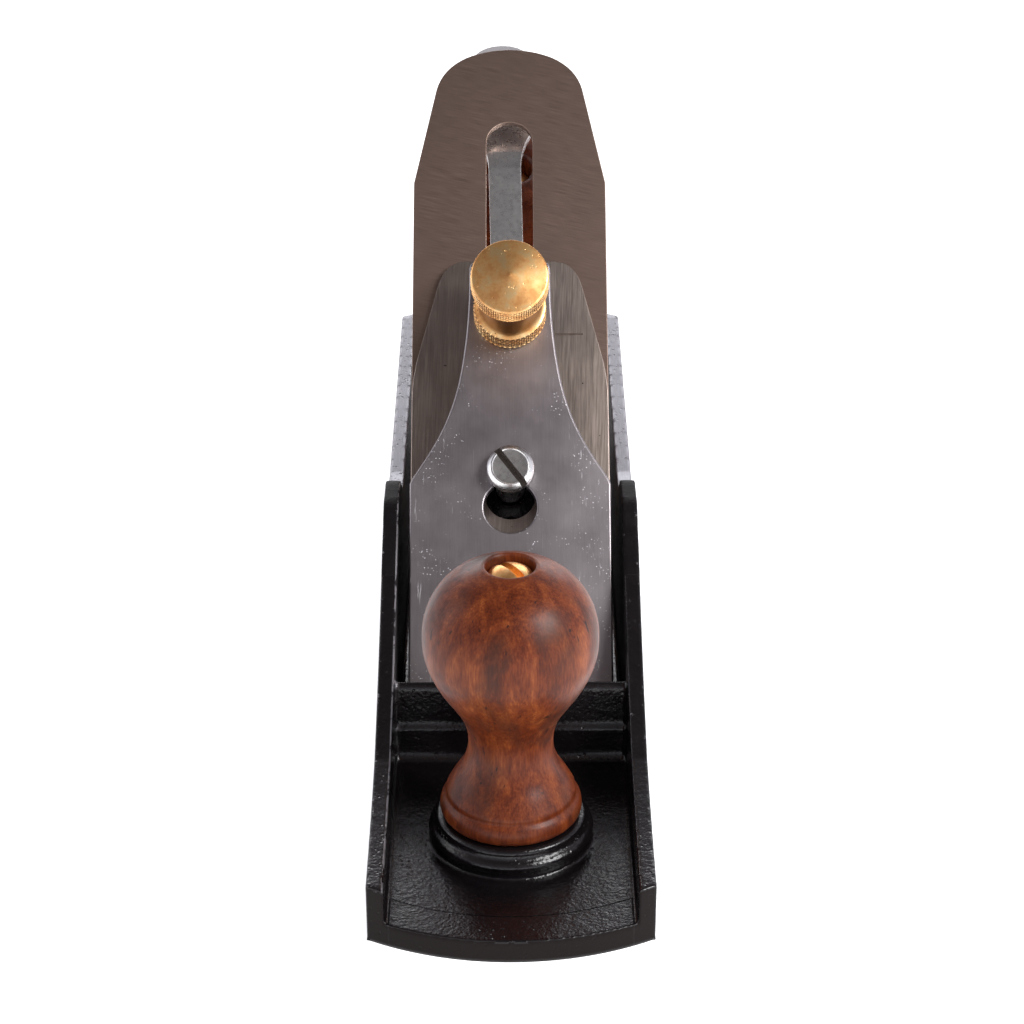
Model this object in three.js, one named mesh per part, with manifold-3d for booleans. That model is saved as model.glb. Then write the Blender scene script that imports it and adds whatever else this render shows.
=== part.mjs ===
// A metal bench plane (smoothing size) with its irons, frog, lever cap and wooden handles.
// Millimetres, +Z up. The sole's underside is z = 0, its middle is the origin, the toe points to -Y.
//
// Three sets of coordinates are used:
//   bench: x across, y back from the front of the toe, z up from the sole
//   bed:   x across, y up the 45 degree bed, z out of it; its origin is the iron's upper face at the sole
//   cap:   the bed tilted a little more, as the lever cap lies
import * as THREE from 'three';
import { mergeVertices } from 'three/addons/utils/BufferGeometryUtils.js';
import Module from 'manifold-3d';

const wasm = await Module();
wasm.setup();

// ---------------------------------------------------------------- driving dimensions

const GAP = 0.3;                 // between pieces that touch
const RUNNING = 0.15;            // round a shaft that turns

const SOLE = { length: 250, width: 63.5, floor: 5.5, toeRise: 8.3 };
const CHEEK = { thickness: 3.9 };
const WALL = { front: 73, back: 77.2, top: 25.4 };      // cross wall in front of the mouth
const BOSS = { y: 40.5, radius: 18.8, top: 12.6 };     // under the front knob
const MOUTH = { front: 79.9, back: 85.1, halfWidth: 27 };

const BED = { y: 82.7, angle: Math.PI / 4 };           // where the iron's upper face meets the sole
const LEDGE = { top: 9, end: 104.5 };                  // low front seat of the frog
const SEAT = { top: 16, end: 137, halfWidth: 21 };     // high rear seat of the frog

const IRON = { width: 50.8, thickness: 2, length: 194.6, slotWidth: 12.3, slotTop: 172.8 };
const CAP_IRON = { width: 50.4, thickness: 2, shoulder: 92, top: 131.8 };
const CAP = { width: 50.2, thickness: 3.5, tilt: 4, y: 9, z: 5.9, length: 116 };
const KEYHOLE = { radius: 6.6, y: 51.7, slotWidth: 8.2, slotTop: 61.2 };
const THUMB = { y: 101.8, ring: 9.2, disc: 9.6, foot: -10.3, top: 33 };   // brass screw of the lever cap

const SCREW_Y = { capIron: 50, leverCap: 69.2, yokeTip: 83.5, disc: 93.5, rivet: 103.5 };
const FROG = { plate: 5, top: 108.5, halfWidth: 25, back: 140.6, base: 4 };
const FROG_SCREW = { x: 16, y: 118 };
const ADJUSTER = { z: 10.5, radius: 2.5 };
const STUD = { z: 36, radius: 3.75 };
const YOKE = { depth: 12.5, radius: 3.4, halfWidth: 5.6, pin: 1.5 };
const CLIP_SCREW = { z: 21.5, hole: 1.8 };
const LEVER_TURN = 1.3 * Math.PI / 180;                // the lateral lever stands a little to the left
const ROD = { radius: 2.75, clearance: 0.45 };
const KNOB = { top: 76, recess: 5.5, recessFloor: 64, rodTop: 68.6 };
const KNOB_NUT = { low: 64.3, high: 75.4, radius: 5.1 };
const TOTE_NUT = { low: 88.4, high: 98, radius: 5.6 };
const TOTE_SCREW = { y: 180, hole: 2.4 };
const TOTE_ROD = { footY: 226, footZ: 8, topY: 211, topZ: 108 };

const BED_GAP = IRON.thickness + GAP;                  // depth of the frog's face below the bed's origin

// ---------------------------------------------------------------- solids

function outward(geometry) {
  geometry.deleteAttribute('normal');
  geometry.deleteAttribute('uv');
  const merged = mergeVertices(geometry, 1e-4);
  const position = merged.attributes.position;
  const index = merged.index.array;
  let volume = 0;
  const corner = [new THREE.Vector3(), new THREE.Vector3(), new THREE.Vector3()];
  for (let i = 0; i < index.length; i += 3) {
    for (let k = 0; k < 3; k += 1) corner[k].fromBufferAttribute(position, index[i + k]);
    volume += corner[0].dot(corner[1].cross(corner[2]));
  }
  if (volume < 0) {
    for (let i = 0; i < index.length; i += 3) {
      [index[i], index[i + 1]] = [index[i + 1], index[i]];
    }
  }
  return merged;
}

function solid(geometry) {
  const closed = outward(geometry);
  return new wasm.Manifold(new wasm.Mesh({
    numProp: 3,
    vertProperties: new Float32Array(closed.attributes.position.array),
    triVerts: new Uint32Array(closed.index.array),
  }));
}

function shell(body) {
  const mesh = body.getMesh();
  const geometry = new THREE.BufferGeometry();
  geometry.setAttribute('position', new THREE.BufferAttribute(mesh.vertProperties, 3));
  geometry.setIndex(new THREE.BufferAttribute(mesh.triVerts, 1));
  geometry.computeVertexNormals();
  return geometry;
}

function join(first, ...others) {
  return others.reduce((sum, other) => sum.add(other), first);
}

function cut(first, ...others) {
  return others.reduce((rest, other) => rest.subtract(other), first);
}

// A box from its lowest corner to its highest one.
function block(low, high) {
  const size = high.map((value, k) => value - low[k]);
  const geometry = new THREE.BoxGeometry(...size);
  geometry.translate(...low.map((value, k) => value + size[k] / 2));
  return solid(geometry);
}

function outline(points) {
  return new THREE.Shape(points.map(([a, b]) => new THREE.Vector2(a, b)));
}

// An outline in x and y, raised from one height to another.
function plate(shape, low, high, curveSegments = 12) {
  const depth = high - low;
  const geometry = new THREE.ExtrudeGeometry(shape, { depth, bevelEnabled: false, curveSegments });
  geometry.translate(0, 0, low);
  return solid(geometry);
}

// An outline in y and z, spread across from one x to another.
function sideways(shape, low, high, curveSegments = 12) {
  const depth = high - low;
  const geometry = new THREE.ExtrudeGeometry(shape, { depth, bevelEnabled: false, curveSegments });
  geometry.applyMatrix4(new THREE.Matrix4().set(
    0, 0, 1, low,
    1, 0, 0, 0,
    0, 1, 0, 0,
    0, 0, 0, 1,
  ));
  return solid(geometry);
}

// A turned piece: [radius, height] points, which start and end on the axis.
function turnedGeometry(profile, segments = 32) {
  const geometry = new THREE.LatheGeometry(profile.map(([r, z]) => new THREE.Vector2(r, z)), segments);
  geometry.rotateX(Math.PI / 2);
  return geometry;
}

function turned(profile, segments) {
  return solid(turnedGeometry(profile, segments));
}

// A round bar along z, y or x.
function bar(radius, from, to, [a, b] = [0, 0], axis = 'z', segments = 24) {
  const geometry = new THREE.CylinderGeometry(radius, radius, to - from, segments);
  const middle = (from + to) / 2;
  if (axis === 'z') {
    geometry.rotateX(Math.PI / 2);
    geometry.translate(a, b, middle);
  } else if (axis === 'y') {
    geometry.translate(a, middle, b);
  } else {
    geometry.rotateZ(Math.PI / 2);
    geometry.translate(middle, a, b);
  }
  return solid(geometry);
}

// A slot along y with round ends.
function slot(width, fromY, toY, low, high, x = 0) {
  const radius = width / 2;
  const shape = new THREE.Shape();
  shape.absarc(x, toY - radius, radius, 0, Math.PI);
  shape.absarc(x, fromY + radius, radius, Math.PI, 2 * Math.PI);
  return plate(shape, low, high, 10);
}

// Turns a solid of bed coordinates into bench coordinates.
const BED_PLACE = new THREE.Matrix4().makeRotationX(BED.angle).setPosition(0, BED.y, 0);

function onBench(body) {
  return body.transform(BED_PLACE.elements);
}

function benchPoint(y, z) {
  return new THREE.Vector3(0, y, z).applyMatrix4(BED_PLACE);
}

// ---------------------------------------------------------------- materials

const FINISH = {
  japanned: { color: 0x0e0b0c, roughness: 0.3, metalness: 0.3 },
  iron: { color: 0x5d5550, roughness: 0.45, metalness: 0.9 },
  plate: { color: 0x8a8886, roughness: 0.35, metalness: 0.95 },
  steel: { color: 0xb9b8b6, roughness: 0.25, metalness: 1 },
  blackSteel: { color: 0x2a2829, roughness: 0.5, metalness: 0.8 },
  brass: { color: 0xb98747, roughness: 0.35, metalness: 1 },
  wood: { color: 0x7a3f22, roughness: 0.4, metalness: 0 },
};

function piece(name, finish, geometry) {
  const mesh = new THREE.Mesh(geometry, new THREE.MeshStandardMaterial(FINISH[finish]));
  mesh.name = name;
  return mesh;
}

// ---------------------------------------------------------------- body casting

function soleOutline() {
  const half = SOLE.width / 2;
  const radius = (half * half + SOLE.toeRise * SOLE.toeRise) / (2 * SOLE.toeRise);
  const spread = Math.asin(half / radius);
  const shape = new THREE.Shape();
  shape.absarc(0, radius, radius, -Math.PI / 2 - spread, -Math.PI / 2 + spread);
  shape.absarc(0, SOLE.length - radius, radius, Math.PI / 2 - spread, Math.PI / 2 + spread);
  return shape;
}

function cheekOutline() {
  const shape = new THREE.Shape();
  shape.moveTo(0, 0);
  shape.lineTo(SOLE.length, 0);
  shape.lineTo(SOLE.length, 51.4);
  shape.lineTo(240, 51);
  shape.lineTo(200, 47.5);
  shape.lineTo(152, 44);
  shape.quadraticCurveTo(141, 44, 137, 48);
  shape.quadraticCurveTo(133, 52, 128, 52);
  shape.lineTo(121, 52);
  shape.quadraticCurveTo(117, 52, 113, 48);
  shape.lineTo(106, 45);
  shape.quadraticCurveTo(82, 30, 52, 19);
  shape.quadraticCurveTo(30, 14.5, 0, 14.2);
  return shape;
}

function cheeks() {
  const half = SOLE.width / 2;
  const left = sideways(cheekOutline(), -half, -half + CHEEK.thickness, 8);
  const right = sideways(cheekOutline(), half - CHEEK.thickness, half, 8);
  return join(left, right).intersect(plate(soleOutline(), 0, 60, 16));
}

function crossWall() {
  const inside = SOLE.width / 2 - CHEEK.thickness / 2;
  return sideways(outline([
    [WALL.front - 1.5, SOLE.floor - 1], [WALL.back, SOLE.floor - 1], [WALL.back, WALL.top - 1.5],
    [WALL.back - 1.2, WALL.top], [WALL.front + 2.6, WALL.top], [WALL.front + 1.6, WALL.top - 1.2],
    [WALL.front + 0.9, 14.8], [WALL.front, 13.8], [WALL.front - 0.2, 7], [WALL.front - 1.5, SOLE.floor],
  ]), -inside, inside);
}

function knobBoss() {
  return turned([
    [0, 3], [BOSS.radius - 0.8, 3], [BOSS.radius - 0.8, 7], [BOSS.radius, 8.4], [BOSS.radius - 0.3, 9.6],
    [BOSS.radius - 1.6, 10.6], [BOSS.radius - 1.6, 12], [BOSS.radius - 2.2, BOSS.top], [0, BOSS.top],
  ], 40).translate([0, BOSS.y, 0]);
}

function frogSeat() {
  const low = SOLE.floor - 1;
  const ledge = block([-24, MOUTH.front, low], [24, LEDGE.end + 1, LEDGE.top]);
  const rear = block([-SEAT.halfWidth, LEDGE.end, low], [SEAT.halfWidth, SEAT.end, SEAT.top]);
  return join(ledge, rear);
}

function mouthCut() {
  const above = 30;
  const side = outline([
    [MOUTH.front, -1], [MOUTH.back, -1], [MOUTH.back + above + 1, above],
    [WALL.back + 0.1, above], [WALL.back + 0.1, SOLE.floor], [MOUTH.front, 2],
  ]);
  return sideways(side, -MOUTH.halfWidth, MOUTH.halfWidth);
}

function toteRodBar(radius, from, to) {
  const foot = new THREE.Vector3(0, TOTE_ROD.footY, TOTE_ROD.footZ);
  const top = new THREE.Vector3(0, TOTE_ROD.topY, TOTE_ROD.topZ);
  const turn = new THREE.Quaternion().setFromUnitVectors(
    new THREE.Vector3(0, 0, 1),
    top.sub(foot).normalize(),
  );
  const place = new THREE.Matrix4().compose(foot, turn, new THREE.Vector3(1, 1, 1));
  return bar(radius, from, to, [0, 0], 'z', 20).transform(place.elements);
}

function bodyCasting() {
  const toteSeat = block([-10, 168, SOLE.floor - 1], [10, 240, 8]);
  const hole = ROD.radius + ROD.clearance;
  return cut(
    join(plate(soleOutline(), 0, SOLE.floor, 16), cheeks(), crossWall(), knobBoss(), frogSeat(), toteSeat),
    mouthCut(),
    bar(hole, 1.5, 20, [0, BOSS.y]),
    toteRodBar(hole, -5.5, 10),
    bar(TOTE_SCREW.hole, 2, 20, [0, TOTE_SCREW.y]),
    bar(ADJUSTER.radius + GAP, 117.5, SEAT.end + 1, [0, ADJUSTER.z], 'y'),
    bar(3.1, 4, 20, [-FROG_SCREW.x, FROG_SCREW.y]),
    bar(3.1, 4, 20, [FROG_SCREW.x, FROG_SCREW.y]),
  );
}

// ---------------------------------------------------------------- frog

const PLATE_BACK = -BED_GAP - FROG.plate;
const RECESS = BED_GAP + 3.3;                          // where the lateral lever lies
const YOKE_PIVOT = benchPoint(SCREW_Y.yokeTip, -YOKE.depth);

function frogPlate() {
  return onBench(sideways(outline([
    [10, -BED_GAP], [SCREW_Y.yokeTip + 5, -BED_GAP], [SCREW_Y.yokeTip + 5, -RECESS],
    [FROG.top, -RECESS], [FROG.top, PLATE_BACK - 2.5], [SCREW_Y.yokeTip - 6, PLATE_BACK - 2.5],
    [SCREW_Y.yokeTip - 10, PLATE_BACK], [16, PLATE_BACK],
  ]), -FROG.halfWidth, FROG.halfWidth));
}

function frogFoot() {
  const low = LEDGE.top + GAP;
  const high = SEAT.top + GAP;
  return sideways(outline([
    [BED.y + BED_GAP * Math.SQRT2 + low + 0.5, low], [LEDGE.end - GAP, low], [LEDGE.end - GAP, high],
    [FROG.back, high], [FROG.back, high + FROG.base],
    [BED.y + BED_GAP * Math.SQRT2 + high + 5, high + FROG.base],
  ]), -FROG.halfWidth + 0.5, FROG.halfWidth - 0.5);
}

function frogWebs() {
  const low = SEAT.top + GAP + FROG.base - 1;
  const underside = BED.y - PLATE_BACK * Math.SQRT2;
  const shape = outline([
    [underside + low - 3, low], [FROG.back, low], [FROG.back, FROG.back - underside + 2],
  ]);
  return join(
    sideways(shape, -FROG.halfWidth + 0.5, -FROG.halfWidth + 4),
    sideways(shape, FROG.halfWidth - 4, FROG.halfWidth - 0.5),
  );
}

function frogBack() {
  const web = block([-8, FROG.back - 4, SEAT.top + GAP], [8, FROG.back, STUD.z]);
  const studBoss = bar(6.5, 126, FROG.back, [0, STUD.z], 'y');
  const ear = outline([
    [139, 44], [147, 46.4], [152.2, 46.6], [153.2, 48], [153.2, 54.2], [161, 67.5], [158, 68.5], [139, 50],
  ]);
  const screwBoss = onBench(bar(6, PLATE_BACK - 3.5, PLATE_BACK + 1, [0, SCREW_Y.leverCap]));
  return join(web, studBoss, sideways(ear, -9, -6), sideways(ear, 6, 9), screwBoss);
}

function frogHoles() {
  const deep = -30;
  const high = SEAT.top + GAP;
  return [
    onBench(slot(20, 36, 61, deep + 18, 0)),
    onBench(bar(3.35, -12, 0, [0, SCREW_Y.leverCap])),
    onBench(block([-5.1, SCREW_Y.yokeTip - 4.6, -13], [5.1, SCREW_Y.yokeTip + 4, 0])),
    onBench(block([-YOKE.halfWidth - 0.4, SCREW_Y.yokeTip - 5.2, -20],
      [YOKE.halfWidth + 0.4, SCREW_Y.yokeTip + 5.2, PLATE_BACK + 0.6])),
    onBench(bar(2.65, -20, 0, [0, SCREW_Y.rivet])),
    bar(STUD.radius + GAP, 128, FROG.back + 1, [0, STUD.z], 'y'),
    bar(CLIP_SCREW.hole, FROG.back - 3.4, FROG.back + 1, [0, CLIP_SCREW.z], 'y'),
    bar(YOKE.pin + RUNNING, -12, 12, [YOKE_PIVOT.y, YOKE_PIVOT.z], 'x', 16),
    ...[-FROG_SCREW.x, FROG_SCREW.x].flatMap((x) => [
      slot(7.4, FROG_SCREW.y - 5.5, FROG_SCREW.y + 5.5, high - 1, high + FROG.base + 1, x),
      slot(15.6, FROG_SCREW.y - 9, FROG_SCREW.y + 9, high + FROG.base, 60, x),
    ]),
  ];
}

function roomForSeat() {
  const front = block([-30, 80, -5], [30, LEDGE.end - GAP, LEDGE.top + GAP]);
  const rear = block([-30, LEDGE.end - GAP, -5], [30, 150, SEAT.top + GAP]);
  return join(front, rear);
}

function frog() {
  return cut(join(frogPlate(), frogFoot(), frogWebs(), frogBack()), roomForSeat(), ...frogHoles());
}

function frogScrew() {
  const seat = SEAT.top + 2 * GAP + FROG.base + 1.5;
  return cut(
    turned([
      [0, 5], [2.8, 5], [2.8, seat], [5.5, seat], [5.5, seat + 3], [5, seat + 3.5], [0, seat + 3.5],
    ], 20),
    block([-6, -0.6, seat + 2], [6, 0.6, seat + 5]),
  );
}

function frogWasher() {
  const low = SEAT.top + 2 * GAP + FROG.base;
  return cut(bar(7.2, low, low + 1.2), bar(3.2, low - 1, low + 3));
}

// ---------------------------------------------------------------- adjusters on the frog

function adjustingScrew() {
  const collar = SEAT.end + 1.7;
  const clip = FROG.back + GAP;
  return cut(
    turned([
      [0, 120], [ADJUSTER.radius, 120], [ADJUSTER.radius, collar], [4.5, collar], [4.5, clip - GAP],
      [ADJUSTER.radius, clip - GAP], [ADJUSTER.radius, clip + 1.9], [5, clip + 1.9], [5, clip + 5.5],
      [4.4, clip + 6], [0, clip + 6],
    ], 20),
    block([-6, -0.6, clip + 4], [6, 0.6, clip + 7]),
  );
}

function adjustingClip() {
  const low = FROG.back + GAP;
  const tall = block([-6, low, 6.5], [6, low + 1.6, 25.4]);
  return cut(
    tall,
    bar(ADJUSTER.radius + GAP, low - 1, low + 3, [0, ADJUSTER.z], 'y'),
    block([-ADJUSTER.radius - GAP, low - 1, 5], [ADJUSTER.radius + GAP, low + 3, ADJUSTER.z]),
    bar(CLIP_SCREW.hole, low - 1, low + 3, [0, CLIP_SCREW.z], 'y'),
  );
}

function clipScrew() {
  const face = FROG.back + 2 * GAP + 1.6;
  return cut(
    turned([[0, face - 4.9], [1.5, face - 4.9], [1.5, face], [3, face], [3, face + 1.4], [2.4, face + 1.9],
      [0, face + 1.9]], 16),
    block([-4, -0.4, face + 1], [4, 0.4, face + 3]),
  );
}

function depthNut() {
  const start = 144.4;
  const bore = STUD.radius + GAP;
  return turnedGeometry([
    [bore, start], [10.5, start], [10.5, start + 2.2], [6.5, start + 2.2], [6.5, start + 10.4],
    [15.2, start + 10.4], [16, start + 11.2], [16, start + 19.5], [15.2, start + 20.3], [12.5, start + 20.3],
    [11.5, start + 17.5], [7, start + 17.5], [7, start + 20.3], [bore, start + 20.3], [bore, start],
  ], 36);
}

function yokeLever() {
  const { y, z } = YOKE_PIVOT;
  const tine = { front: y - 1.5, back: y + 1.5 };
  const tip = onBench(sideways(outline([
    [SCREW_Y.yokeTip - 2, -YOKE.depth], [SCREW_Y.yokeTip + 2, -YOKE.depth], [SCREW_Y.yokeTip + 2, 1.8],
    [SCREW_Y.yokeTip + 1.3, 2.3], [SCREW_Y.yokeTip - 1.3, 2.3], [SCREW_Y.yokeTip - 2, 1.8],
  ]), -4.5, 4.5));
  const hub = bar(YOKE.radius, -YOKE.halfWidth, YOKE.halfWidth, [y, z], 'x', 24);
  const arm = block([-YOKE.halfWidth, tine.front, 43], [YOKE.halfWidth, tine.back, z]);
  const bridge = block([-10.5, tine.front, 43], [10.5, tine.back, 45.6]);
  const tines = [-1, 1].map((side) => block(
    [Math.min(side * 7.2, side * 10.5), tine.front, 32],
    [Math.max(side * 7.2, side * 10.5), tine.back, 44],
  ));
  return cut(join(tip, hub, arm, bridge, ...tines), bar(YOKE.pin + RUNNING, -12, 12, [y, z], 'x', 16));
}

function lateralLever() {
  const thick = 2.6;
  const tabHalf = 9.7;
  const tabTop = 198.4;
  const top = -IRON.thickness - 0.5;
  const line = [[86, top], [160, top], [166, top - 1.2], [174, top - 4], [182, top - 6.6], [186, top - 7],
    [190, top - 5.8], [201, top - 1.2]];
  const under = [[202, top - 4], [190, top - 8.6], [186, top - 9.7], [181, top - 9.3], [172, top - 6.4],
    [164, top - 3.8], [159, top - thick], [86, top - thick]];
  const plan = new THREE.Shape();
  plan.absarc(0, SCREW_Y.disc + 0.5, 4.6, Math.PI, 2 * Math.PI);
  plan.lineTo(5.6, SCREW_Y.rivet);
  plan.lineTo(4.3, 112);
  plan.lineTo(4.3, 162);
  plan.quadraticCurveTo(5, 170, tabHalf, 176);
  plan.lineTo(tabHalf, 190);
  plan.bezierCurveTo(tabHalf, 195.2, 6.5, tabTop, 0, tabTop);
  plan.bezierCurveTo(-6.5, tabTop, -tabHalf, 195.2, -tabHalf, 190);
  plan.lineTo(-tabHalf, 176);
  plan.quadraticCurveTo(-5, 170, -4.3, 162);
  plan.lineTo(-4.3, 112);
  plan.lineTo(-5.6, SCREW_Y.rivet);
  return cut(
    sideways(outline([...line, ...under]), -12, 12).intersect(plate(plan, -20, 5, 8)),
    bar(2.65, -10, 5, [0, SCREW_Y.rivet]),
    bar(2.3, -10, 5, [0, SCREW_Y.disc]),
  );
}

function lateralRivet() {
  const head = -IRON.thickness - 0.2;
  return turnedGeometry([[0, -12], [2.5, -12], [2.5, head], [3.8, head], [3.6, head + 0.9], [2.6, head + 1.3],
    [0, head + 1.3]], 20);
}

function lateralDisc() {
  const low = -IRON.thickness - 0.2;
  return turnedGeometry([[0, low - 2.7], [2, low - 2.7], [2, low], [5.8, low], [5.8, -0.2], [0, -0.2]], 28);
}

// ---------------------------------------------------------------- irons

function cuttingIron() {
  const half = IRON.width / 2;
  const plan = new THREE.Shape();
  plan.moveTo(-half, 0);
  plan.lineTo(half, 0);
  plan.lineTo(half, 155);
  plan.lineTo(19.4, 184);
  plan.quadraticCurveTo(17.5, 189, 12, 191.8);
  plan.quadraticCurveTo(6.5, IRON.length, 0, IRON.length);
  plan.quadraticCurveTo(-6.5, IRON.length, -12, 191.8);
  plan.quadraticCurveTo(-17.5, 189, -19.4, 184);
  plan.lineTo(-half, 155);
  const bevel = IRON.thickness / Math.tan(25 * Math.PI / 180);
  const edge = 0.15;
  const side = outline([
    [edge, 0], [edge + bevel, -IRON.thickness], [IRON.length + 5, -IRON.thickness], [IRON.length + 5, 0],
  ]);
  return cut(
    plate(plan, -IRON.thickness - 1, 1, 8).intersect(sideways(side, -30, 30)),
    slot(IRON.slotWidth, 30, IRON.slotTop, -4, 2),
    bar(9.5, -4, 2, [0, 32], 'z', 32),
  );
}

function capIron() {
  const half = CAP_IRON.width / 2;
  const plan = new THREE.Shape();
  plan.moveTo(-half, 0);
  plan.lineTo(half, 0);
  plan.lineTo(half, CAP_IRON.shoulder);
  plan.quadraticCurveTo(half, 98, 24.2, 103);
  plan.lineTo(18.8, 124.4);
  plan.quadraticCurveTo(17, 130.9, 12, 131.4);
  plan.quadraticCurveTo(6, CAP_IRON.top, 0, CAP_IRON.top);
  plan.quadraticCurveTo(-6, CAP_IRON.top, -12, 131.4);
  plan.quadraticCurveTo(-17, 130.9, -18.8, 124.4);
  plan.lineTo(-24.2, 103);
  plan.quadraticCurveTo(-half, 98, -half, CAP_IRON.shoulder);
  const upper = GAP + CAP_IRON.thickness;
  const side = outline([
    [2, GAP], [3, GAP], [6, 2.4], [9, 3.5], [14, 3.5], [20, 1.7], [26, GAP], [135, GAP], [135, upper],
    [27, upper], [21, 3.9], [15, 5.5], [7.5, 5.5], [4.2, 3.6],
  ]);
  return cut(
    plate(plan, -1, 8, 8).intersect(sideways(side, -30, 30)),
    slot(13, 60.5, 77.5, -1, 6),
    block([-5.8, SCREW_Y.yokeTip - 2.4, -1], [5.8, SCREW_Y.yokeTip + 2.4, 6]),
    bar(4.15, -1, 6, [0, SCREW_Y.capIron]),
  );
}

function capIronScrew() {
  const under = -IRON.thickness - GAP;
  return cut(
    turned([
      [0, under - 3], [7.4, under - 3], [8, under - 2.4], [8, under],
      [3.9, under], [3.9, 2.9], [3.4, 3.4], [0, 3.4],
    ], 28),
    block([-9, -0.7, under - 4], [9, 0.7, under - 1.7]),
  );
}

// ---------------------------------------------------------------- lever cap and its screws

function leverCap() {
  const half = CAP.width / 2;
  const neck = 10;
  const plan = new THREE.Shape();
  plan.moveTo(-half, -3);
  plan.lineTo(half, -3);
  plan.lineTo(half, 59.1);
  plan.quadraticCurveTo(14.8, 72, 11.6, 88);
  plan.quadraticCurveTo(neck, 98, neck, CAP.length - 1);
  plan.lineTo(neck - 1, CAP.length);
  plan.lineTo(-neck + 1, CAP.length);
  plan.lineTo(-neck, CAP.length - 1);
  plan.quadraticCurveTo(-neck, 98, -11.6, 88);
  plan.quadraticCurveTo(-14.8, 72, -half, 59.1);
  const side = outline([
    [-2.6, 0.6], [-1.6, 0], [3, 0], [CAP.length + 1, 0], [CAP.length + 1, CAP.thickness],
    [4, CAP.thickness], [0, 3], [-2, 1.8],
  ]);
  return cut(
    plate(plan, -1, 6, 10).intersect(sideways(side, -30, 30)),
    bar(KEYHOLE.radius, -1, 6, [0, KEYHOLE.y], 'z', 32),
    slot(KEYHOLE.slotWidth, KEYHOLE.y, KEYHOLE.slotTop + KEYHOLE.slotWidth / 2, -1, 6),
    bar(3.45, -1, 6, [0, THUMB.y]),
  );
}

function thumbScrew() {
  const seat = CAP.thickness + 0.7;
  return turnedGeometry([
    [0, THUMB.foot], [3.2, THUMB.foot], [3.2, seat], [THUMB.ring - 0.5, seat], [THUMB.ring, seat + 0.5],
    [THUMB.ring, seat + 6.2], [THUMB.ring - 0.6, seat + 6.8], [7, 13], [5.8, 17], [5.8, 22], [6.8, 26],
    [THUMB.disc, 26.6], [THUMB.disc, THUMB.top - 0.4], [THUMB.disc - 0.5, THUMB.top], [0, THUMB.top + 1.3],
  ], 32);
}

function leverCapScrew() {
  const seat = 14.6;
  return cut(
    turned([[0, -8.8], [3, -8.8], [3, 0.5], [3.6, 0.5], [3.6, seat], [5.85, seat], [5.85, seat + 3],
      [5.2, seat + 3.8], [0, seat + 3.8]], 28),
    block([-7, -1, seat + 2.1], [7, 1, seat + 5]),
  );
}

// ---------------------------------------------------------------- wooden handles

function knobProfile() {
  const bottom = BOSS.top + GAP;
  const curve = new THREE.SplineCurve([
    new THREE.Vector2(13.6, 21), new THREE.Vector2(10.4, 26), new THREE.Vector2(9.6, 32),
    new THREE.Vector2(11.2, 38.5), new THREE.Vector2(15.8, 45.8), new THREE.Vector2(18.9, 52.6),
    new THREE.Vector2(19.6, 58), new THREE.Vector2(17.9, 66.4), new THREE.Vector2(12.4, 72.8),
    new THREE.Vector2(KNOB.recess + 0.7, KNOB.top),
  ]);
  const points = curve.getPoints(26).map((p) => [p.x, p.y]);
  return [[15.3, bottom], [16.15, 14.6], [16, 16], [15.6, 17], [14.9, 17.8], [14.9, 18.6], ...points];
}

function frontKnob() {
  const bore = ROD.radius + ROD.clearance;
  const bottom = BOSS.top + GAP;
  return turnedGeometry([
    [bore, bottom], ...knobProfile(), [KNOB.recess, KNOB.top], [KNOB.recess, KNOB.recessFloor],
    [bore, KNOB.recessFloor], [bore, bottom],
  ], 36);
}

function slottedNut({ low, high, radius }) {
  return cut(
    turned([[0, low], [radius, low], [radius, high - 2], [radius - 1.2, high - 0.7], [radius - 3, high],
      [0, high + 0.2]], 24),
    block([-8, -0.9, high - 1.9], [8, 0.9, high + 2]),
    bar(ROD.radius + GAP, low - 1, low + 5),
  );
}

function knobRod() {
  return bar(ROD.radius, 2, KNOB.rodTop, [0, 0], 'z', 20);
}

function toteOutline() {
  const foot = 8 + GAP;
  const shape = new THREE.Shape();
  shape.moveTo(170, foot);
  shape.lineTo(238, foot);
  shape.quadraticCurveTo(241, 16, 239.5, 26);
  shape.bezierCurveTo(236, 40, 226, 62, 225, 82);
  shape.quadraticCurveTo(225.5, 100, 238, 109.5);
  shape.quadraticCurveTo(243.5, 114, 239.5, 117.6);
  shape.quadraticCurveTo(233, 119, 222, 113.5);
  shape.lineTo(201, 103);
  shape.quadraticCurveTo(193.5, 99.5, 195, 94.5);
  shape.quadraticCurveTo(202, 86, 202.5, 68);
  shape.bezierCurveTo(203, 48, 199, 22, 184, 18.6);
  shape.quadraticCurveTo(170, 17.5, 170, 12);
  return shape;
}

function tote() {
  const half = 11.5;
  return cut(
    sideways(toteOutline(), -half, half, 7),
    toteRodBar(ROD.radius + ROD.clearance, -10, 120),
    toteRodBar(6, 88, 130),
    bar(TOTE_SCREW.hole, 0, 40, [0, TOTE_SCREW.y]),
    bar(4.6, 15, 40, [0, TOTE_SCREW.y]),
  );
}

function toteToeScrew() {
  return cut(
    turned([[0, 3], [2, 3], [2, 15.4], [4.2, 15.4], [4.2, 16.6], [3.2, 17.6], [0, 17.9]], 20),
    block([-6, -0.5, 16.6], [6, 0.5, 20]),
  );
}

// ---------------------------------------------------------------- assembly

function placed(mesh, [x, y, z], turnX = 0) {
  mesh.position.set(x, y, z);
  mesh.rotation.x = turnX;
  return mesh;
}

const bench = new THREE.Group();
bench.position.y = -SOLE.length / 2;

const bed = new THREE.Group();
bed.position.y = BED.y;
bed.rotation.x = BED.angle;

const leverFrame = new THREE.Group();
leverFrame.position.y = SCREW_Y.rivet;
leverFrame.rotation.z = LEVER_TURN;

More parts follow.
